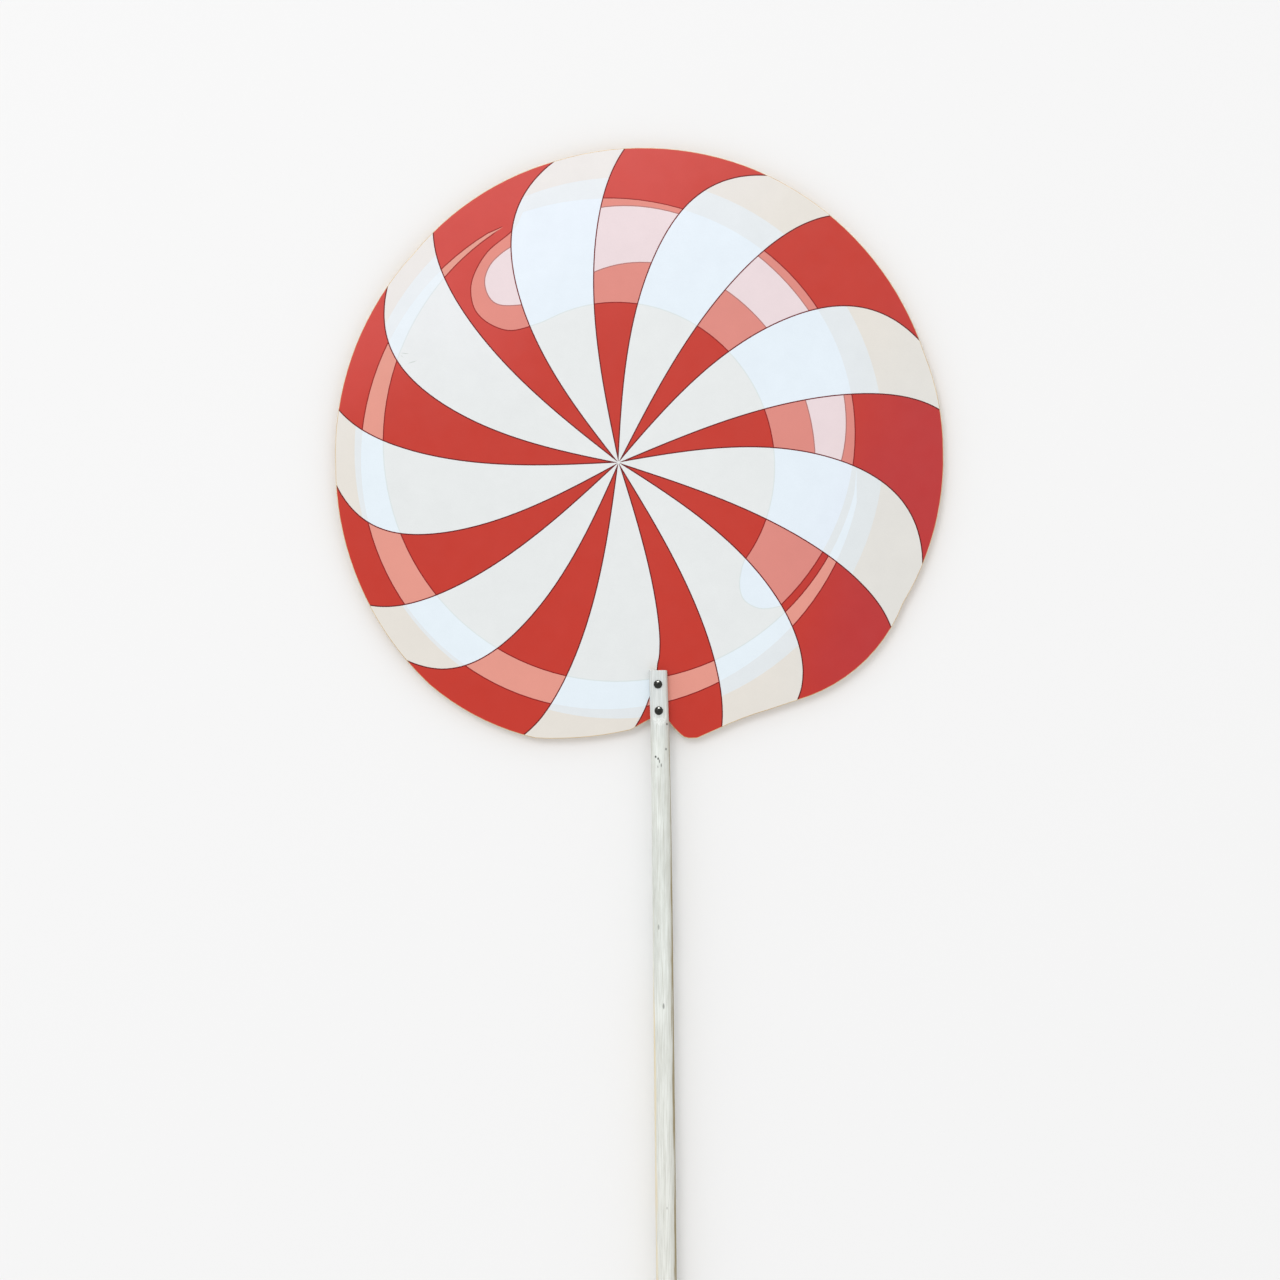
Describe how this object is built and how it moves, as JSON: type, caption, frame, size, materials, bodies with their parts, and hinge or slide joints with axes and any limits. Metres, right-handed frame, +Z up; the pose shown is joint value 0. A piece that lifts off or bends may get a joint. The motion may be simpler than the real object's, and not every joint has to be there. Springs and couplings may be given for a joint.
{
  "type": "lollipop display board on a pole",
  "caption": "Flat cut-out board printed as a round swirl lollipop, screwed by its lower edge to the planed end of a slim whitewashed wooden pole.",
  "frame": {"origin": "centre of the board's round outline, on its back face, which rests on the surface", "axes": "+Z up out of the printed face, +Y along the board away from the pole, +X to the board's right"},
  "size_m": [0.611, 1.4391, 0.0271],
  "materials": {
    "printed_board": "satin red and white print on a wooden board, plain wood at its sides and back",
    "whitewashed_wood": "worn thin white paint over bare wood that shows along both sides",
    "dark_steel": "dark domed screws, satin"
  },
  "bodies": {
    "root": {"board": "printed_board", "pole": "whitewashed_wood", "screw_upper": "dark_steel", "screw_lower": "dark_steel"}
  },
  "joints": []
}
